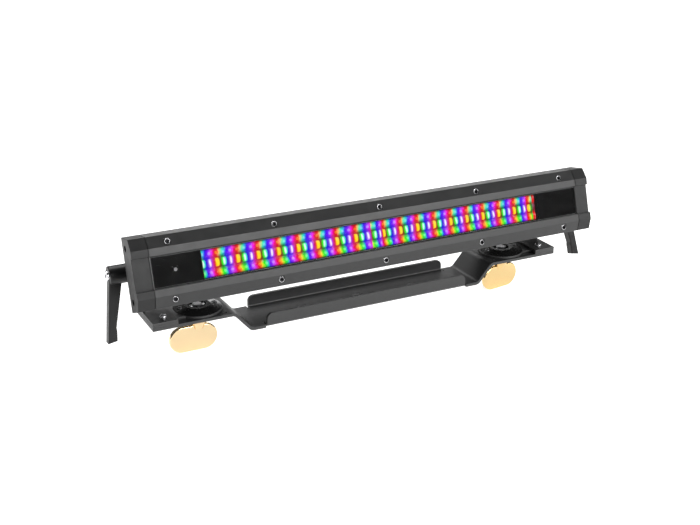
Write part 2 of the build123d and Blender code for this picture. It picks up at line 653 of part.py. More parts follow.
def data_socket(x, male):
    """Round three-pole data connector on a rectangular flange: an open cup, or a face with holes."""
    flange_back = HOUSING_BACK + 2.0
    shell = rod_y(x, 8.0, HOUSING_BACK, 0, 10.7)
    flange = block(x - 13.0, x + 13.0, HOUSING_BACK, flange_back, -15.5, 15.5)
    flange = fillet(flange.edges().filter_by(Axis.Y), 2.5)
    shell += fillet(flange.faces().sort_by(Axis.Y)[-1].edges(), 0.5)
    if male:
        shell -= rod_y(x, CAVITY_FLOOR_Y, flange_back + 1, 0, 8.4)
    else:
        ring = rod_y(x, 14.0, flange_back + 1, 0, 9.2) - rod_y(x, 13.0, flange_back + 2, 0, 8.2)
        shell -= ring
        for pole_x, z in data_poles(x):
            shell -= rod_y(pole_x, 14.0, flange_back + 1, z, 1.3)
    for sx, z in ((-1, -12.0), (1, 12.0)):
        shell -= rod_y(x + sx * 9.6, HOUSING_BACK - 1, flange_back + 1, z, 1.6)
    return shell


def dmx_input_pins():
    """Three round pins that stand on the floor of the data input's cup."""
    pins = []
    for x, z in data_poles(DATA_X[0]):
        pin = rod_y(x, CAVITY_FLOOR_Y, 20.0, z, 1.2)
        pins.append(fillet(pin.edges().sort_by(Axis.Y)[-1], 0.5))
    return pins


def led_cable():
    """Flat cable from the driver board's socket through the walls to the light boards."""
    wall = PROFILE_BACK_Y - PROFILE_FLOOR - 4.0
    run = block(2.0, 10.0, wall, -14.0, -0.6, 0.6)
    run += block(2.0, 30.0, -14.0, -6.0, -0.6, 0.6)
    return run + block(28.8, 30.0, -14.0, -6.0, -12.0, 0.6)


# ---------------------------------------------------------------- clamping levers

def lever_place(side, shape):
    """Lever pieces are drawn for the right end hanging down from the X axis, then swung and placed."""
    swung = Rot(X=-LEVER_SWING[side]) * shape
    return Pos(0, 0, PIVOT_Z) * mirrored(side, swung)


def clamp_insert(side):
    """Serrated steel insert with the threaded stud that pulls the arm against the head."""
    insert = rod_x(FLAT_END + GAP, 246.0, 0, 0, 5.0)
    tooth_count = 12
    for tooth in range(tooth_count):
        groove = Pos(0, 5.0, 0) * Rot(X=45) * Box(60.0, 0.8, 0.8)
        insert -= Pos(FLAT_END + 30, 0, 0) * Rot(X=tooth * 360 / tooth_count) * groove
    insert += rod_x(HOUSING_HALF - 8.0, FLAT_END + GAP + 1.0, 0, 0, THREAD_R)
    return lever_place(side, insert)


def clamp_lever(side):
    """Moulded lever: a hub with a spring pocket, and a tapered, splayed arm with a thumb pad."""
    hub = rod_x(FLAT_END + 0.5, LEVER_HUB_END, 0, 0, LEVER_HUB_R)
    hub = fillet(hub.edges().sort_by(Axis.X)[-1], 1.5)
    root = 10.4
    tip = 7.4
    breadth = 9.5
    splay = LEVER_REACH * tan(radians(LEVER_SPLAY))
    outer = LEVER_HUB_END
    pad_start = 50.0
    pad = 1.6
    arm = make_face(Polyline((outer, 0, 0), (outer + splay, 0, -LEVER_REACH),
                             (outer + splay - tip - pad, 0, -LEVER_REACH + 1.5),
                             (outer + splay - tip - pad - 0.6, 0, -pad_start - 3.0),
                             (outer + splay - tip - 1.8, 0, -pad_start), (outer - root - 1.0, 0, -6.0),
                             (outer - root - 1.0, 0, 0), close=True))
    arm = extrude(arm, amount=breadth / 2, both=True, dir=(0, 1, 0))
    side_edges = [e for e in arm.edges() if abs(e.center().Y) > breadth / 2 - 0.1]
    arm = fillet([e for e in side_edges if e.center().Z < -20.0], 1.2)
    lever = hub + arm
    lever -= rod_x(FLAT_END, 246.2, 0, 0, 5.0 + RUNNING)
    lever -= rod_x(246.0, 250.0, 0, 0, 2.5 + RUNNING)
    lever -= rod_x(249.0, LEVER_HUB_END + 1, 0, 0, 5.0)
    return lever_place(side, lever)


def clamp_screw(side):
    """Bright retaining screw in the insert; its head holds the lever's spring."""
    screw = rod_x(240.0, 259.4, 0, 0, 2.5)
    head = rod_x(259.4, 262.2, 0, 0, 4.85)
    head = fillet(head.edges().sort_by(Axis.X)[-1], 0.6)
    key = Pos(260.4, 0, 0) * Rot(Y=90) * extrude(RegularPolygon(2.3, 6), amount=3.0)
    return lever_place(side, screw + head - key)


def clamp_spring(side):
    coil = spring_z(0, 0, 0, 10.1, 3.75, 0.55, 4.5)
    return lever_place(side, Pos(249.2, 0, 0) * Rot(Y=90) * coil)


def bored_insert(side):
    """The insert with the tapped hole for its retaining screw."""
    hole = lever_place(side, rod_x(239.8, 247.0, 0, 0, 2.5))
    return clamp_insert(side) - hole


# ---------------------------------------------------------------- write every piece

def all_pieces():
    pieces = {
        "omega_bracket": omega_bracket(),
        "foot_screws": foot_screws(),
        "lock_socket_screws": lock_socket_screws(),
    }
    for side in ("left", "right"):
        pieces[f"foot_plate_{side}"] = foot_plate(side)
        pieces[f"yoke_arm_{side}"] = yoke_arm(side)
        pieces[f"lock_socket_{side}"] = lock_socket(side)
        pieces[f"wing_toggle_{side}"] = wing_toggle(side)
        pieces[f"lock_stud_{side}"] = lock_stud(side)
        pieces[f"lock_spring_{side}"] = lock_spring(side)
        pieces[f"clamp_insert_{side}"] = bored_insert(side)
        pieces[f"clamp_lever_{side}"] = clamp_lever(side)
        pieces[f"clamp_screw_{side}"] = clamp_screw(side)
        pieces[f"clamp_spring_{side}"] = clamp_spring(side)
    head = {
        "front_profile": front_profile(),
        "front_screws_upper": front_screws(1),
        "front_screws_lower": front_screws(-1),
        "end_gaskets": end_gaskets(),
        "end_cap_screws": end_cap_screws(),
        "window_cover": window_cover(),
        "window_masks": window_masks(),
        "remote_sensor": remote_sensor(),
        "lens_array": lens_array(),
        "led_emitters": led_emitters(),
        "heat_spreader": heat_spreader(),
        "rear_housing": rear_housing(),
        "end_plate_screws": end_plate_screws(),
        "pivot_bushes": pivot_bushes(),
        "friction_washers": friction_washers(),
        "power_supply_board": power_supply_board(),
        "led_driver_board": led_driver_board(),
        "control_board": control_board(),
        "control_panel": control_panel(),
        "display": display(),
        "power_inlet": mains_socket(MAINS_X[0], male=True),
        "power_outlet": mains_socket(MAINS_X[1], male=False),
        "dmx_input": data_socket(DATA_X[0], male=True),
        "dmx_output": data_socket(DATA_X[1], male=False),
        "power_inlet_blades": power_inlet_blades(),
        "dmx_input_pins": dmx_input_pins(),
        "led_cable": led_cable(),
    }
    for side in ("left", "right"):
        head[f"end_cap_{side}"] = end_cap(side)
        head[f"led_board_{side}"] = led_board(side)
        head[f"rear_end_plate_{side}"] = rear_end_plate(side)
    for name, x in BUTTON_X.items():
        head[name] = button(x)
    for name, shape in head.items():
        pieces[name] = [tilted(s) for s in shape] if isinstance(shape, list) else tilted(shape)
    return pieces


os.makedirs("parts", exist_ok=True)
for node, shape in all_pieces().items():
    part = Compound(children=shape) if isinstance(shape, list) else shape
    export_step(part, f"parts/{node}.step")
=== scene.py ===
import json
import math

import bpy
import bmesh
from mathutils import Matrix, Vector


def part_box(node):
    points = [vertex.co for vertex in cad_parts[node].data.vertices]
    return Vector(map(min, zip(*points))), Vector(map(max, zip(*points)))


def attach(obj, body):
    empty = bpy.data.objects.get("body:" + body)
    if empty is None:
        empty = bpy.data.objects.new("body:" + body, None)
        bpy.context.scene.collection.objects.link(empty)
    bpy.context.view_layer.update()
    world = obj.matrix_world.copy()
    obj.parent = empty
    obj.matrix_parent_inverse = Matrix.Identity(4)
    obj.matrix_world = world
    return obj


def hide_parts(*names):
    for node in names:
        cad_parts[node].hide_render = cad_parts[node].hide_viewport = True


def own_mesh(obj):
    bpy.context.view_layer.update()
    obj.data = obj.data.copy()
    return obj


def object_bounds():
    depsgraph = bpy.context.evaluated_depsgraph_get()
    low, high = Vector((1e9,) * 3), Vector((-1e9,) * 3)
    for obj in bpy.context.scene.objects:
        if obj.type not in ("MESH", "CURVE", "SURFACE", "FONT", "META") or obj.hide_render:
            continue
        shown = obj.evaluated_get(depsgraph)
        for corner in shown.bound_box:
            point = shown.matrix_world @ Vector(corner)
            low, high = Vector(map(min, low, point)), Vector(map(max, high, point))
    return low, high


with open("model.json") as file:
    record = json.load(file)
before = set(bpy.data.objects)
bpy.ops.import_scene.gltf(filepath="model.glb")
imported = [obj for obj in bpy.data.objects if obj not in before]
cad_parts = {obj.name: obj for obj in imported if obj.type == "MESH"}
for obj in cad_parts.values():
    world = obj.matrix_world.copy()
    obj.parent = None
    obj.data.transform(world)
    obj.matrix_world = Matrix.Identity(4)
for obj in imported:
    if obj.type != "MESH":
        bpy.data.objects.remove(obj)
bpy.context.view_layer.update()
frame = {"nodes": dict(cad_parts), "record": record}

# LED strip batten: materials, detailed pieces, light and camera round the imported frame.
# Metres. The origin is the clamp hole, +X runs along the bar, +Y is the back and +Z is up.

# The light head is drawn level round the pivot and tilted; HEAD takes its own frame to the row's.
FACE_TILT = math.radians(17.05)
PIVOT = Vector((0, 0, 0.0714))
HEAD = Matrix.Translation(PIVOT) @ Matrix.Rotation(-FACE_TILT, 4, "X")

# ---------------------------------------------------------------- camera

CAMERA_PLACE = (-0.49863, -0.94198, 0.45435)
CAMERA_YAW = 27.40
CAMERA_PITCH = 21.29
CAMERA_ROLL = 0.27
CAMERA_LENS = 57.31
SENSOR_WIDTH = 36.0


def make_camera():
    """The camera stands still, left of the middle and a little above the light head."""
    data = bpy.data.cameras.new("camera")
    data.lens = CAMERA_LENS
    data.sensor_width = SENSOR_WIDTH
    camera = bpy.data.objects.new("camera", data)
    bpy.context.scene.collection.objects.link(camera)
    yaw = Matrix.Rotation(math.radians(-CAMERA_YAW), 4, "Z")
    pitch = Matrix.Rotation(math.radians(90 - CAMERA_PITCH), 4, "X")
    roll = Matrix.Rotation(math.radians(CAMERA_ROLL), 4, "Z")
    camera.matrix_world = Matrix.Translation(CAMERA_PLACE) @ yaw @ pitch @ roll
    bpy.context.scene.camera = camera


# ---------------------------------------------------------------- material helpers

class Graph:
    """A node material with short calls for the nodes that this scene uses."""

    def __init__(self, name, **shader_values):
        self.material = bpy.data.materials.new(name)
        self.material.use_nodes = True
        self.tree = self.material.node_tree
        self.shader = self.tree.nodes["Principled BSDF"]
        for socket, value in shader_values.items():
            self.shader.inputs[socket.replace("_", " ")].default_value = value
        self.place = self.add("ShaderNodeTexCoord").outputs["Object"]

    def add(self, kind, inputs=None, **settings):
        """A new node; an input is either another node's output or a constant."""
        node = self.tree.nodes.new(kind)
        for key, value in settings.items():
            setattr(node, key, value)
        for key, value in (inputs or {}).items():
            if isinstance(value, bpy.types.NodeSocket):
                self.tree.links.new(value, node.inputs[key])
            else:
                node.inputs[key].default_value = value
        return node

    def noise(self, scale, detail=2.0, roughness=0.5, place=None):
        """Smooth noise from 0 to 1; the scale is the number of its cells in a metre."""
        inputs = {"Vector": place or self.place, "Scale": scale, "Detail": detail, "Roughness": roughness}
        return self.add("ShaderNodeTexNoise", inputs).outputs["Fac"]

    def stretched(self, scale):
        """The shaded point with a scale of its own along each axis."""
        inputs = {"Vector": self.place, "Scale": scale}
        return self.add("ShaderNodeMapping", inputs).outputs["Vector"]

    def math(self, operation, a, b=0.0):
        return self.add("ShaderNodeMath", {0: a, 1: b}, operation=operation).outputs[0]

    def remap(self, value, low, high, to_low, to_high, curve="LINEAR"):
        inputs = {"Value": value, "From Min": low, "From Max": high, "To Min": to_low, "To Max": to_high}
        return self.add("ShaderNodeMapRange", inputs, interpolation_type=curve).outputs["Result"]

    def mix(self, factor, a, b):
        """Two colours mixed, through the mix node's own colour sockets 6 and 7."""
        return self.add("ShaderNodeMix", {0: factor, 6: a, 7: b}, data_type="RGBA").outputs[2]

    def along(self, direction, start):
        """Distance of the shaded point from start, measured along a direction."""
        inputs = {0: self.place, 1: tuple(direction)}
        measured = self.add("ShaderNodeVectorMath", inputs, operation="DOT_PRODUCT").outputs["Value"]
        return self.math("SUBTRACT", measured, Vector(direction).dot(start))

    def head_height(self):
        """Height above the pivot in the light head's own frame."""
        return self.along(HEAD.to_3x3() @ Vector((0, 0, 1)), PIVOT)

    def set(self, socket, value):
        """Join a node's output to a socket of the shader."""
        self.tree.links.new(value, self.shader.inputs[socket])

    def bump(self, height, distance, strength=1.0, under=None):
        """A bumped normal from a height, on top of another bump where one is given."""
        inputs = {"Height": height, "Distance": distance, "Strength": strength}
        if under is not None:
            inputs["Normal"] = under
        return self.add("ShaderNodeBump", inputs).outputs["Normal"]


def grey(value, warm=0.0):
    """A nearly neutral colour; warm above 0 leans to red and below 0 to blue."""
    return (value * (1 + warm), value, value * (1 - warm), 1.0)


def powder_coat(name, level, gloss, grain=0.00004, specular=0.5):
    """Baked powder paint: pebbled skin, faint clouding and slightly uneven gloss."""
    g = Graph(name, Specular_IOR_Level=specular)
    cloud = g.noise(18.0, 3.0)
    speck = g.noise(2600.0, 1.0)
    shade = g.mix(cloud, grey(level * 0.86, -0.02), grey(level * 1.12, -0.01))
    g.set("Base Color", g.mix(g.remap(speck, 0.35, 0.75, 0.0, 0.35), shade, grey(level * 1.7, -0.01)))
    g.set("Roughness", g.remap(g.noise(140.0, 2.0), 0.3, 0.7, gloss - 0.04, gloss + 0.06))
    pebble = g.bump(g.noise(1500.0, 2.0, 0.6), grain, 0.5)
    g.set("Normal", g.bump(g.noise(420.0, 1.0), grain * 2.0, 0.3, pebble))
    return g.material


def moulded_plastic(name, level, gloss, grain=0.00003, scale=1800.0, specular=0.5):
    """Moulded plastic with a fine etched grain."""
    g = Graph(name, Specular_IOR_Level=specular)
    g.set("Base Color", g.mix(g.noise(45.0, 3.0), grey(level * 0.8), grey(level * 1.25)))
    g.set("Roughness", g.remap(g.noise(220.0, 3.0), 0.3, 0.7, gloss - 0.05, gloss + 0.07))
    g.set("Normal", g.bump(g.noise(scale, 2.0, 0.55), grain, 0.5))
    return g.material


def metal(name, colour, gloss, streak=(40.0, 900.0, 900.0), depth=0.00001, tarnish=0.12):
    """Machined or plated metal: fine streaks, slightly uneven colour."""
    g = Graph(name, Metallic=1.0)
    dull = tuple(c * (1 - tarnish) for c in colour) + (1.0,)
    bright = tuple(min(1.0, c * (1 + tarnish * 0.5)) for c in colour) + (1.0,)
    g.set("Base Color", g.mix(g.noise(90.0, 4.0), dull, bright))
    lines = g.noise(1.0, 3.0, 0.6, g.stretched(streak))
    g.set("Roughness", g.remap(lines, 0.3, 0.7, gloss * 0.75, gloss * 1.3))
    g.set("Normal", g.bump(lines, depth, 0.4))
    return g.material


# Screws in one node stand further apart than the gap; the painted rim highlight starts at a share of the
# radius
SCREW_GAP = 0.02
SCREW_HIGHLIGHT_RIM = 0.84


def painted_rim_screws(name, node):
    """Blackened socket screws along the light head: each rim gets a painted highlight, and the middle is
    painted near-black, partly the blackened finish and partly painted shade in the socket.
    """
    points = [HEAD.inverted() @ v.co for v in frame["nodes"][node].data.vertices]
    places = sorted(p.x for p in points)
    gaps = [k for k in range(1, len(places)) if places[k] - places[k - 1] > SCREW_GAP]
    groups = [places[a:b] for a, b in zip([0] + gaps, gaps + [len(places)])]
    radius = (groups[0][-1] - groups[0][0]) / 2
    middle = (min(p.z for p in points) + max(p.z for p in points)) / 2
    g = Graph(name, Metallic=1.0)
    along = g.along((1, 0, 0), Vector())
    nearest = places[-1] - places[0]
    for group in groups:
        away = g.math("ABSOLUTE", g.math("SUBTRACT", along, (group[0] + group[-1]) / 2))
        nearest = g.math("MINIMUM", away, nearest)
    above = g.math("SUBTRACT", g.head_height(), middle)
    squares = g.math("ADD", g.math("POWER", nearest, 2.0), g.math("MULTIPLY", above, above))
    share = g.math("DIVIDE", g.math("SQRT", squares), radius)
    patchy = g.remap(g.noise(500.0, 2.0), 0.3, 0.7, -0.04, 0.04)
    # painted highlight: the rim of each head is painted bright where its edge catches the light; the middle
    # is painted near-black, with painted shade in the socket
    rim = g.remap(g.math("ADD", share, patchy), SCREW_HIGHLIGHT_RIM - 0.07, SCREW_HIGHLIGHT_RIM + 0.05, 0.0, 1.0)
    g.set("Base Color", g.mix(rim, (0.022, 0.022, 0.024, 1.0), (0.52, 0.52, 0.53, 1.0)))
    g.set("Roughness", g.remap(rim, 0.0, 1.0, 0.42, 0.24))
    g.set("Normal", g.bump(g.noise(900.0, 2.0), 0.00001, 0.4))
    return g.material


# Clear acrylic, and the window's printed border with a painted highlight line: the highlight line at its
# left end, the clear part's half height
ACRYLIC = (0.96, 0.97, 0.98, 1.0)
ACRYLIC_IOR = 1.49
WINDOW_END_HIGHLIGHT = 0.0008
WINDOW_CLEAR_HALF = 0.0137


def scratch(g):
    """A faint haze of fine scratches in a glossy cover."""
    scratches = g.noise(1.0, 4.0, 0.7, g.stretched((30.0, 30.0, 2200.0)))
    g.set("Roughness", g.remap(scratches, 0.45, 0.8, 0.01, 0.06))


def clear_cover(name):
    """Clear acrylic all over."""
    g = Graph(name, Base_Color=ACRYLIC, IOR=ACRYLIC_IOR, Transmission_Weight=1.0)
    scratch(g)
    return g.material


def framed_window(name, node):
    """The clear cover with its printed border dark along both lands, and a painted highlight line at the
    left end where the glass edge catches the light.
    """
    end = max(v.co.x for v in frame["nodes"][node].data.vertices)
    g = Graph(name, IOR=ACRYLIC_IOR, Specular_IOR_Level=0.22)
    height = g.math("ABSOLUTE", g.head_height())
    leftward = g.along((-1, 0, 0), Vector())
    # painted highlight: a lighter line along the glass's left end edge
    end_highlight = g.remap(leftward, end - WINDOW_END_HIGHLIGHT - 0.0001, end - WINDOW_END_HIGHLIGHT, 0.0, 1.0)
    at_land = g.remap(height, WINDOW_CLEAR_HALF, WINDOW_CLEAR_HALF + 0.0002, 0.0, 1.0)
    tone = g.noise(240.0, 2.0)
    dark = g.mix(tone, grey(0.018), grey(0.030))
    # the colour of the painted highlight line at the left end
    light = g.mix(tone, grey(0.085), grey(0.115))
    border = g.mix(end_highlight, dark, light)
    covered = g.math("MAXIMUM", end_highlight, at_land)
    g.set("Base Color", g.mix(covered, ACRYLIC, border))
    g.set("Transmission Weight", g.math("SUBTRACT", 1.0, covered))
    scratch(g)
    return g.material


def circuit_board(name):
    """Solder mask over copper, with a fine grid of tracks and small tinned pads."""
    g = Graph(name)
    tracks = g.add("ShaderNodeTexBrick", {"Vector": g.stretched((260.0, 260.0, 260.0)), "Scale": 1.0,
                                          "Mortar Size": 0.035, "Color1": (0.012, 0.07, 0.03, 1.0),
                                          "Color2": (0.015, 0.085, 0.035, 1.0),
                                          "Mortar": (0.03, 0.16, 0.06, 1.0)})
    pads = g.remap(g.noise(700.0, 0.0), 0.70, 0.72, 0.0, 1.0)
    g.set("Base Color", g.mix(pads, tracks.outputs["Color"], (0.6, 0.58, 0.5, 1.0)))
    g.set("Roughness", g.remap(pads, 0.0, 1.0, 0.35, 0.22))
    g.set("Normal", g.bump(tracks.outputs["Fac"], 0.00003, 0.5))
    return g.material


def fibre(name):
    """Pressed brown fibre of a friction washer."""
    g = Graph(name)
    strands = g.noise(1.0, 4.0, 0.7, g.stretched((900.0, 150.0, 2500.0)))
    g.set("Base Color", g.mix(strands, (0.16, 0.10, 0.055, 1.0), (0.30, 0.21, 0.12, 1.0)))
    g.set("Roughness", g.remap(strands, 0.3, 0.7, 0.7, 0.9))
    g.set("Normal", g.bump(strands, 0.00004, 0.6))
    return g.material


def display_glass(name):
    """Dark display window with the faint grid of an unlit segment field."""
    g = Graph(name, Coat_Weight=1.0, Coat_Roughness=0.03)
    cells = g.add("ShaderNodeTexBrick", {"Vector": g.stretched((220.0, 110.0, 110.0)), "Scale": 1.0,
                                         "Mortar Size": 0.05, "Color1": (0.006, 0.010, 0.022, 1.0),
                                         "Color2": (0.008, 0.013, 0.028, 1.0),
                                         "Mortar": (0.003, 0.004, 0.010, 1.0)}, offset=0.0)
    g.set("Base Color", cells.outputs["Color"])
    g.set("Roughness", g.remap(g.noise(80.0), 0.3, 0.7, 0.12, 0.2))
    return g.material


GOLD_STREAK = (60.0, 60.0, 60.0)

# One material for each of the record's slots
MATERIALS = {
    "bracket_paint": powder_coat("bracket_paint", 0.017, 0.46, specular=0.66),
    "profile_paint": powder_coat("profile_paint", 0.012, 0.42, specular=0.50),
    "housing_paint": powder_coat("housing_paint", 0.018, 0.42, 0.00002),
    "lock_black": moulded_plastic("lock_black", 0.008, 0.22, 0.00001),
    "gold": metal("gold", (0.855, 0.66, 0.395), 0.17, GOLD_STREAK, 0.000006, 0.05),
    "steel": metal("steel", (0.55, 0.55, 0.56), 0.30),
    "bright_zinc": metal("bright_zinc", (0.78, 0.78, 0.80), 0.25),
    "black_screw": metal("black_screw", (0.15, 0.15, 0.155), 0.28),
    "contact_metal": metal("contact_metal", (0.72, 0.72, 0.70), 0.22),
    "seal_rubber": moulded_plastic("seal_rubber", 0.008, 0.75, 0.00003, 900.0),
    "window_clear": framed_window("window_glass", "window_cover"),
    "lens_clear": clear_cover("lens_clear"),
    "mask_black": moulded_plastic("mask_black", 0.002, 0.55, 0.00001, specular=0.12),
    "led_white": moulded_plastic("led_white", 0.75, 0.4, 0.00001),
    "board_green": circuit_board("board_green"),
    "bare_aluminium": metal("bare_aluminium", (0.75, 0.76, 0.77), 0.38),
    "lever_black": moulded_plastic("lever_black", 0.006, 0.36, 0.00004, 1400.0, specular=0.3),
    "socket_black": moulded_plastic("socket_black", 0.012, 0.42),
    "panel_black": moulded_plastic("panel_black", 0.010, 0.35, 0.00001),
    "display_glass": display_glass("display_glass"),
    "button_rubber": moulded_plastic("button_rubber", 0.045, 0.6, 0.00003, 1200.0),
    "washer_fibre": fibre("washer_fibre"),
    "cable_jacket": moulded_plastic("cable_jacket", 0.03, 0.6),
}

# Nodes whose material differs a little from the rest of their slot; the right paddle and the front screws
# differ by painted light
CAST_CAP_PAINT = powder_coat("cast_cap_paint", 0.011, 0.46, specular=0.30)
NODE_MATERIALS = {
    "end_cap_left": CAST_CAP_PAINT,
    "end_cap_right": CAST_CAP_PAINT,
    "remote_sensor": moulded_plastic("sensor_lens", 0.34, 0.25, 0.00001, specular=0.8),
    # painted reflection: the right paddle's gold is a deeper, warmer copy of the same plating, for the
    # warmer surroundings it reflects
    "wing_toggle_right": metal("gold_painted_warm_reflection", (0.79, 0.575, 0.275), 0.17, GOLD_STREAK, 0.000006, 0.05),
    "front_screws_upper": painted_rim_screws("painted_rim_screws_upper", "front_screws_upper"),
    "front_screws_lower": painted_rim_screws("painted_rim_screws_lower", "front_screws_lower"),
}


def dress_cad_nodes():
    """Every CAD node takes the material of its slot, or its own where it has one."""
    for part in frame["record"]["subparts"]:
        node = part["node"]
        mesh = frame["nodes"][node].data
        mesh.materials.clear()
        mesh.materials.append(NODE_MATERIALS.get(node, MATERIALS[part["material_slot"]]))


# ---------------------------------------------------------------- pieces

def add_piece(name, mesh, material, body, *nodes, slot):
    """A new piece in the row frame that rides on a body and stands for CAD nodes."""
    piece = bpy.data.objects.new(name, mesh)
    bpy.context.scene.collection.objects.link(piece)
    mesh.materials.append(material)
    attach(piece, body)
    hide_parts(*nodes)
    return piece


SHARP_ANGLE = 60.0


def closed_mesh(bm, name):
    """The mesh of a finished shape, with its faces turned outwards and its soft edges smooth."""
    bmesh.ops.recalc_face_normals(bm, faces=bm.faces)
    mesh = bpy.data.meshes.new(name)
    bm.to_mesh(mesh)
    bm.free()
    mesh.shade_smooth()
    mesh.set_sharp_from_angle(angle=math.radians(SHARP_ANGLE))
    return mesh


# ---------------------------------------------------------------- pixels

PIXEL_COLUMNS = 56
PIXEL_ROWS = 3
# The cycle of colours skips a pixel at the joint of the two modules, and runs ahead in the last column
MODULE_JOINT_COLUMN = 26
LAST_COLUMN_SHIFT = 0.28
LIT_LEFT = -0.185
LIT_RIGHT = 0.1826
ROW_PITCH = 0.0088
LENS_DEPTH = 0.0013
LENS_ROUNDNESS = 0.5
CELLS_PER_PIXEL = 4
# x of some column centres, in metres; the columns crowd together at the joint of the two modules
COLUMN_CENTRES = ((0.5, -0.1845), (25.5, -0.0148), (26.5, -0.0068), (27.5, -0.0014), (28.5, 0.0023),
                  (29.5, 0.0085), (55.5, 0.1760))

# In pixels: a band's middle, the half height of its full strength, and how far it fades beyond that
TOP_BAND = (2.55, 0.10, 0.46)
MIDDLE_BAND = (1.5, 0.38, 0.12)
BOTTOM_BAND = (0.45, 0.10, 0.46)
LIT_BAND = (PIXEL_ROWS / 2, 1.28, 0.26)
# In pixels: half width, half height and softness of the ovals in a pixel
CELL_OVAL = (0.40, 0.46, 0.45)
CORE_OVAL = (0.15, 0.33, 0.7)
OUTER_ROW_OVAL = (0.20, 0.14, 0.9)
CORE_SHARE = 0.95
OUTER_ROW_SHARE = 0.22
BEYOND_MARGIN = 0.1
# Ranges over single pixels: how far the cores lean, and how strong the light is
LEAN = (-0.10, 0.30)
SPREAD = (0.92, 1.10)
# Shares of the colour cycle: a random swirl, and the slant of the colours over the outer rows' height
SWIRL = 0.035
TOP_SLANT = -0.07
BOTTOM_SLANT = 0.09
PIXEL_STRENGTH = 1.12
EDGE_STRENGTH = 0.28
DISPLAY_GAMMA = 2.5


def column_x(u):
    """Place along the bar of a column coordinate, whose whole numbers are the borders of pixels."""
    index = 0
    while index < len(COLUMN_CENTRES) - 2 and u > COLUMN_CENTRES[index + 1][0]:
        index += 1
    (u0, x0), (u1, x1) = COLUMN_CENTRES[index], COLUMN_CENTRES[index + 1]
    return x0 + (u - u0) * (x1 - x0) / (u1 - u0)


def lit(red, green, blue):
    """A colour as a display shows it, from 0 to 255, in linear light."""
    return tuple((channel / 255) ** DISPLAY_GAMMA for channel in (red, green, blue))


# Colours over one cycle of green, violet and yellow pixels, whose centres are at 1/6, 1/2 and 5/6
TOP_ROW = ((0.00, (225, 215, 125)), (0.06, (110, 235, 170)), (0.14, (40, 225, 215)), (0.22, (40, 160, 235)),
           (0.30, (45, 10, 235)), (0.42, (125, 20, 250)), (0.52, (190, 60, 255)), (0.62, (240, 5, 230)),
           (0.71, (240, 0, 120)), (0.78, (230, 5, 20)), (0.88, (240, 70, 25)), (0.95, (252, 180, 100)),
           (1.00, (225, 215, 125)))
MIDDLE_ROW = ((0.00, (90, 190, 10)), (0.09, (60, 235, 40)), (0.17, (90, 250, 130)), (0.25, (60, 235, 215)),
              (0.33, (25, 60, 170)), (0.41, (130, 80, 235)), (0.50, (205, 160, 255)), (0.58, (180, 60, 235)),
              (0.67, (205, 0, 130)), (0.74, (240, 60, 20)), (0.80, (255, 205, 10)), (0.90, (255, 220, 10)),
              (0.96, (215, 190, 5)), (1.00, (90, 190, 10)))
BOTTOM_ROW = ((0.00, (200, 235, 50)), (0.08, (50, 235, 30)), (0.17, (50, 240, 80)), (0.25, (40, 210, 200)),
              (0.32, (30, 10, 225)), (0.42, (150, 40, 250)), (0.52, (205, 95, 252)), (0.62, (225, 5, 215)),
              (0.71, (235, 0, 90)), (0.79, (235, 30, 10)), (0.90, (255, 150, 40)), (0.96, (250, 220, 50)),
              (1.00, (200, 235, 50)))
BETWEEN_ROWS = ((0.00, (120, 70, 0)), (0.08, (10, 130, 20)), (0.17, (5, 130, 70)), (0.25, (20, 40, 190)),
                (0.35, (50, 0, 225)), (0.50, (105, 0, 230)), (0.60, (190, 0, 190)), (0.70, (205, 0, 110)),
                (0.80, (200, 5, 25)), (0.92, (200, 20, 5)), (1.00, (120, 70, 0)))
# Colours from the bottom to the top of the narrow strip beyond the last column
BEYOND_LAST_COLUMN = ((0.00, (225, 20, 0)), (0.30, (240, 15, 5)), (0.40, (120, 10, 40)),
                      (0.62, (110, 5, 60)), (0.74, (230, 10, 5)), (1.00, (205, 10, 10)))
# Colours of the bright ovals over the same cycle as the rows
CORES = ((0.0, (120, 255, 120)), (0.17, (225, 255, 245)), (0.33, (230, 240, 255)), (0.50, (252, 240, 255)),
         (0.66, (255, 190, 160)), (0.76, (255, 225, 20)), (0.90, (255, 225, 20)), (1.0, (120, 255, 120)))


def colour_cycle(g, phase, stops):
    """The colour at a place from 0 to 1 between the stops."""
    node = g.add("ShaderNodeValToRGB", {"Fac": phase})
    ramp = node.color_ramp
    while len(ramp.elements) < len(stops):
        ramp.elements.new(0.5)
    for element, (place, colour) in zip(ramp.elements, stops):
        element.position = place
        element.color = (*lit(*colour), 1.0)
    return node.outputs["Color"]


def oval(g, across, along, half_width, half_height, soft):
    """1 inside an upright oval round the middle of a pixel, falling to 0 outside it."""
    wide = g.math("POWER", g.math("ABSOLUTE", g.math("DIVIDE", across, half_width)), 2.2)
    tall = g.math("POWER", g.math("ABSOLUTE", g.math("DIVIDE", along, half_height)), 2.6)
    return g.remap(g.math("ADD", wide, tall), 1 - soft, 1 + soft, 1.0, 0.0, "SMOOTHSTEP")


def band(g, row, middle, half, soft):
    """1 within half of a height in rows, falling smoothly to 0 over soft."""
    away = g.math("ABSOLUTE", g.math("SUBTRACT", row, middle))
    return g.remap(away, half, half + soft, 1.0, 0.0, "SMOOTHSTEP")


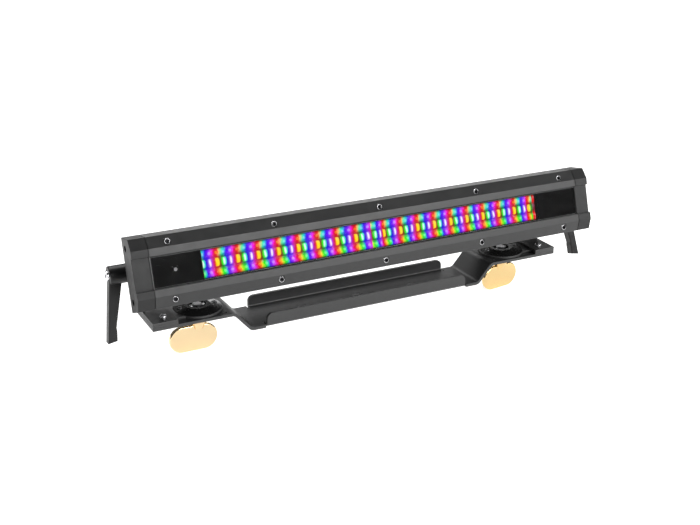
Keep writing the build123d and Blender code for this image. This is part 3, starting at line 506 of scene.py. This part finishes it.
def pixel_light(name):
    """Rainbow of lit pixels through their lenses: deep colours between the rows, bright oval cores.

    The UV map counts columns in U and rows in V, with whole numbers at the pixel borders.
    """
    g = Graph(name, Base_Color=(0.01, 0.01, 0.01, 1.0), Roughness=0.25, Specular_IOR_Level=0.1)
    uv = g.add("ShaderNodeSeparateXYZ", {"Vector": g.add("ShaderNodeUVMap").outputs["UV"]})
    column, row = uv.outputs["X"], uv.outputs["Y"]
    restart = g.math("GREATER_THAN", column, MODULE_JOINT_COLUMN)
    last_shift = g.math("MULTIPLY", g.math("GREATER_THAN", column, PIXEL_COLUMNS - 1), LAST_COLUMN_SHIFT)
    count = g.math("ADD", g.math("ADD", column, restart), last_shift)
    phase = g.math("FRACT", g.math("DIVIDE", count, PIXEL_ROWS))
    pixel = g.add("ShaderNodeCombineXYZ", {"X": g.math("FLOOR", column), "Y": g.math("FLOOR", row)})
    odd = g.add("ShaderNodeTexWhiteNoise", {"Vector": pixel.outputs["Vector"]}).outputs["Value"]
    across = g.math("SUBTRACT", g.math("FRACT", column), 0.5)
    along = g.math("SUBTRACT", g.math("FRACT", row), 0.5)
    lean = g.math("ADD", across, g.math("MULTIPLY", along, g.remap(odd, 0.0, 1.0, *LEAN)))
    light = colour_cycle(g, phase, BETWEEN_ROWS)
    swirl = g.math("ADD", phase, g.remap(g.noise(420.0, 2.0), 0.3, 0.7, -SWIRL, SWIRL))
    top_swirl = g.math("ADD", swirl, g.math("MULTIPLY", g.math("SUBTRACT", row, 2.5), TOP_SLANT))
    bottom_swirl = g.math("ADD", swirl, g.math("MULTIPLY", g.math("SUBTRACT", row, 0.5), BOTTOM_SLANT))
    light = g.mix(band(g, row, *TOP_BAND), light, colour_cycle(g, top_swirl, TOP_ROW))
    light = g.mix(band(g, row, *BOTTOM_BAND), light, colour_cycle(g, bottom_swirl, BOTTOM_ROW))
    middle = band(g, row, *MIDDLE_BAND)
    cell = g.math("MULTIPLY", middle, oval(g, across, along, *CELL_OVAL))
    light = g.mix(cell, light, colour_cycle(g, phase, MIDDLE_ROW))
    core = g.math("MULTIPLY", middle, oval(g, lean, along, *CORE_OVAL))
    outer_core = g.math("MULTIPLY", oval(g, lean, along, *OUTER_ROW_OVAL), OUTER_ROW_SHARE)
    core = g.math("MAXIMUM", g.math("MULTIPLY", core, CORE_SHARE), outer_core)
    light = g.mix(core, light, colour_cycle(g, phase, CORES))
    past_last = g.math("GREATER_THAN", column, PIXEL_COLUMNS + BEYOND_MARGIN)
    last = colour_cycle(g, g.math("DIVIDE", row, PIXEL_ROWS), BEYOND_LAST_COLUMN)
    light = g.mix(past_last, light, last)
    g.set("Emission Color", light)
    edge = g.math("MULTIPLY", band(g, row, *LIT_BAND), g.remap(odd, 0.0, 1.0, *SPREAD))
    g.set("Emission Strength", g.remap(edge, 0.0, 1.0, EDGE_STRENGTH, PIXEL_STRENGTH))
    return g.material


def carried_on(place, towards, x):
    """A column coordinate and its place x, carried on past a place on the line from another."""
    slope = (place[0] - towards[0]) / (place[1] - towards[1])
    return (place[0] + (x - place[1]) * slope, x)


def lens_columns():
    """Column coordinates and places along the bar of the lens mesh, from one end to the other."""
    steps = [k / CELLS_PER_PIXEL for k in range(PIXEL_COLUMNS * CELLS_PER_PIXEL + 1)]
    places = [(u, column_x(u)) for u in steps if LIT_LEFT < column_x(u) < LIT_RIGHT]
    first = carried_on(places[0], places[1], LIT_LEFT)
    last = carried_on(places[-1], places[-2], LIT_RIGHT)
    return [first, *places, last]


def pixel_lenses():
    """Three rows of pillow lenses, one for each pixel, on a plate with turned-back edges."""
    depths = [(HEAD.inverted() @ v.co).y for v in frame["nodes"]["lens_array"].data.vertices]
    front, back = min(depths), max(depths)
    bm = bmesh.new()
    uv = bm.loops.layers.uv.new("pixels")
    places = lens_columns()
    rows = PIXEL_ROWS * CELLS_PER_PIXEL
    height = PIXEL_ROWS * ROW_PITCH

    def point(place, j):
        u, x = place
        v = j / CELLS_PER_PIXEL
        dome = (abs(math.sin(math.pi * u)) ** LENS_ROUNDNESS
                * abs(math.sin(math.pi * v)) ** LENS_ROUNDNESS)
        return Vector((x, front + LENS_DEPTH * (1 - dome), -height / 2 + v * ROW_PITCH))

    grid = [[bm.verts.new(HEAD @ point(place, j)) for j in range(rows + 1)] for place in places]
    last = len(places) - 1
    for i in range(last):
        for j in range(rows):
            face = bm.faces.new((grid[i][j], grid[i + 1][j], grid[i + 1][j + 1], grid[i][j + 1]))
            corners = ((i, j), (i + 1, j), (i + 1, j + 1), (i, j + 1))
            for loop, (ci, cj) in zip(face.loops, corners):
                loop[uv].uv = (places[ci][0], cj / CELLS_PER_PIXEL)
    rim = ([grid[i][0] for i in range(last + 1)]
           + [grid[last][j] for j in range(1, rows + 1)]
           + [grid[i][rows] for i in range(last - 1, -1, -1)]
           + [grid[0][j] for j in range(rows - 1, 0, -1)])
    into = HEAD.to_3x3() @ Vector((0, back - front - LENS_DEPTH, 0))
    behind = [bm.verts.new(v.co + into) for v in rim]
    for k, vert in enumerate(rim):
        following = (k + 1) % len(rim)
        bm.faces.new((vert, behind[k], behind[following], rim[following]))
    bm.faces.new(behind)
    mesh = closed_mesh(bm, "pixel_lenses")
    add_piece("pixel_lenses", mesh, pixel_light("pixel_light"), "head", "lens_array", slot="lens_clear")


# ---------------------------------------------------------------- lever springs

SPRING_TURNS = 4.5
STEPS_PER_TURN = 28
WIRE_SIDES = 10
SPRING_WIRE = 0.00055


def lever_spring(side):
    """The coil inside a clamping lever, riding on the lever."""
    low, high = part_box(f"clamp_spring_{side}")
    length = high[0] - low[0] - 2 * SPRING_WIRE
    radius = (high[1] - low[1]) / 2 - SPRING_WIRE
    steps = int(SPRING_TURNS * STEPS_PER_TURN)
    bm = bmesh.new()
    rings = []
    for i in range(steps + 1):
        turn = 2 * math.pi * SPRING_TURNS * i / steps
        outward = Vector((0, math.cos(turn), math.sin(turn)))
        x = low[0] + SPRING_WIRE + length * i / steps
        centre = Vector((x, PIVOT.y, PIVOT.z)) + outward * radius
        ring = []
        for k in range(WIRE_SIDES):
            angle = 2 * math.pi * k / WIRE_SIDES
            offset = outward * math.cos(angle) + Vector((1, 0, 0)) * math.sin(angle)
            ring.append(bm.verts.new(centre + offset * SPRING_WIRE))
        rings.append(ring)
    for ring, following in zip(rings, rings[1:]):
        for k in range(WIRE_SIDES):
            after = (k + 1) % WIRE_SIDES
            bm.faces.new((ring[k], ring[after], following[after], following[k]))
    bm.faces.new(rings[0])
    bm.faces.new(rings[-1])
    mesh = closed_mesh(bm, f"lever_spring_{side}")
    node = f"clamp_spring_{side}"
    piece = add_piece(f"lever_spring_{side}", mesh, MATERIALS["steel"], f"clamp_{side}", node, slot="steel")
    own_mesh(piece)


# ---------------------------------------------------------------- floor and light

FLOOR_REACH = 12.0
FLOOR_GAP = 0.0003
FLOOR_GLOW = 0.62
WORLD_GLOW = 0.12
# name, place, aim, width, height and watts
SOFTBOXES = (
    ("overhead", (-0.4, 1.1, 2.2), (0, 0, 0), 2.6, 1.8, 58.0),
    ("right_side", (2.3, -1.1, 0.8), (0, 0, 0.05), 1.0, 1.0, 14.0),
    ("front_right", (1.0, -2.35, 1.2), (0, 0, 0.07), 2.2, 0.7, 71.0),
    ("back_low", (1.15, 2.4, 0.42), (0, 0, 0.1), 1.6, 0.5, 6.0),
)


def make_floor():
    """A plain pale floor just below the lowest point."""
    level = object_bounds()[0].z - FLOOR_GAP
    mesh = bpy.data.meshes.new("floor")
    corners = [(x * FLOOR_REACH, y * FLOOR_REACH, level) for x, y in ((-1, -1), (1, -1), (1, 1), (-1, 1))]
    mesh.from_pydata(corners, [], [(0, 1, 2, 3)])
    floor = bpy.data.objects.new("floor", mesh)
    bpy.context.scene.collection.objects.link(floor)
    g = Graph("studio_floor", Specular_IOR_Level=0.2, Emission_Color=(1, 1, 1, 1),
              Emission_Strength=FLOOR_GLOW)
    g.set("Base Color", g.mix(g.noise(3.0, 4.0), grey(0.90), grey(0.93)))
    g.set("Roughness", g.remap(g.noise(60.0), 0.3, 0.7, 0.75, 0.85))
    mesh.materials.append(g.material)


def add_softbox(name, place, aim, width, height, power):
    """A rectangular studio light that stands at a place and points at its aim."""
    data = bpy.data.lights.new(name, "AREA")
    data.shape = "RECTANGLE"
    data.size = width
    data.size_y = height
    data.energy = power
    lamp = bpy.data.objects.new(name, data)
    bpy.context.scene.collection.objects.link(lamp)
    lamp.location = place
    lamp.rotation_mode = "QUATERNION"
    lamp.rotation_quaternion = (Vector(aim) - Vector(place)).to_track_quat("-Z", "Y")


def make_light():
    """Soft studio light: a dim white surround and the softboxes."""
    world = bpy.data.worlds.new("studio")
    bpy.context.scene.world = world
    world.use_nodes = True
    background = world.node_tree.nodes["Background"]
    background.inputs["Color"].default_value = (1, 1, 1, 1)
    background.inputs["Strength"].default_value = WORLD_GLOW
    for softbox in SOFTBOXES:
        add_softbox(*softbox)
    bpy.context.scene.view_settings.view_transform = "Standard"


dress_cad_nodes()
pixel_lenses()
lever_spring("left")
lever_spring("right")
make_camera()
make_light()
make_floor()
